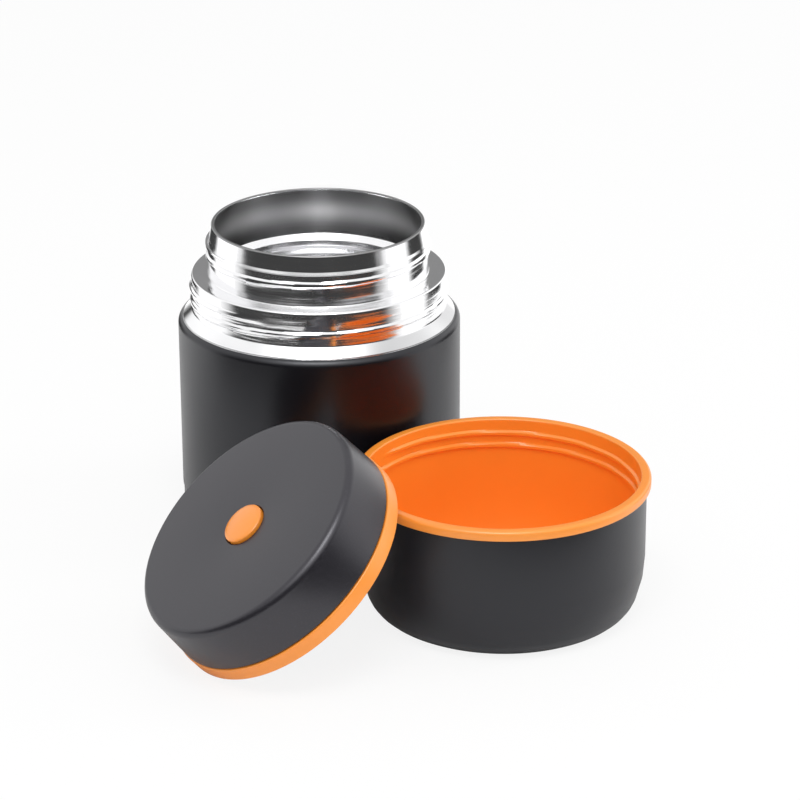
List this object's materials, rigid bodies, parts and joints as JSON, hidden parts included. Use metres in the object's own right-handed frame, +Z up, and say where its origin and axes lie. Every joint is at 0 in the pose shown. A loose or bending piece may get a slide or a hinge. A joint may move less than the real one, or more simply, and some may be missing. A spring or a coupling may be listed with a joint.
{
  "type": "insulated food jar",
  "caption": "Vacuum-insulated steel food jar shown open, with its push-button screw stopper leaning on its screw-on serving cup.",
  "frame": {"origin": "centre of the jar's round foot, on the surface that jar, cup and lid stand on", "axes": "+Z up along the jar's axis; the picture looks roughly along +Y, with the cup towards +X and the lid towards -Y"},
  "size_m": [0.1683, 0.2109, 0.1095],
  "materials": {
    "matt_coating": "matt powder coat",
    "polished_steel": "polished stainless steel",
    "satin_steel": "satin stainless steel",
    "solder": "dull",
    "getter_metal": "dull",
    "spring_steel": "drawn wire",
    "foot_rubber": "matt",
    "orange_plastic": "moulded, soft gloss",
    "dark_plastic": "fine matt texture",
    "grey_plastic": "moulded",
    "foam": "closed-cell foam",
    "silicone": "soft translucent"
  },
  "bodies": {
    "jar": {"body_shell": "matt_coating", "neck_collar": "polished_steel", "inner_vessel": "satin_steel", "bottom_plate": "satin_steel", "vacuum_seal": "solder", "getter": "getter_metal", "base_cap": "matt_coating", "base_pad": "foot_rubber"},
    "cup": {"cup_shell": "matt_coating", "cup_liner": "orange_plastic"},
    "lid": {"lid_inner": "orange_plastic", "lid_cap": "dark_plastic", "lid_plug": "grey_plastic", "plug_cover": "grey_plastic", "plug_foam": "foam", "plug_gasket": "silicone", "button_guide": "grey_plastic"},
    "button": {"push_button": "orange_plastic", "valve_stem": "grey_plastic", "valve_washer": "silicone", "valve_spring": "spring_steel"}
  },
  "joints": [
    {"name": "cup_lift", "type": "slide", "parent": "jar", "child": "cup", "axis": [0.8479, 0.4051, 0.342], "range_m": [0, 0.15]},
    {"name": "lid_lift", "type": "slide", "parent": "jar", "child": "lid", "axis": [-0.5869, -0.2847, 0.7579], "range_m": [0, 0.12]},
    {"name": "button_press", "type": "slide", "parent": "lid", "child": "button", "axis": [0.5869, 0.2847, -0.7579], "range_m": [0, 0.0022], "stiffness_N_per_m": 1000, "springref_m": -0.002, "deforming": ["valve_spring"]}
  ]
}
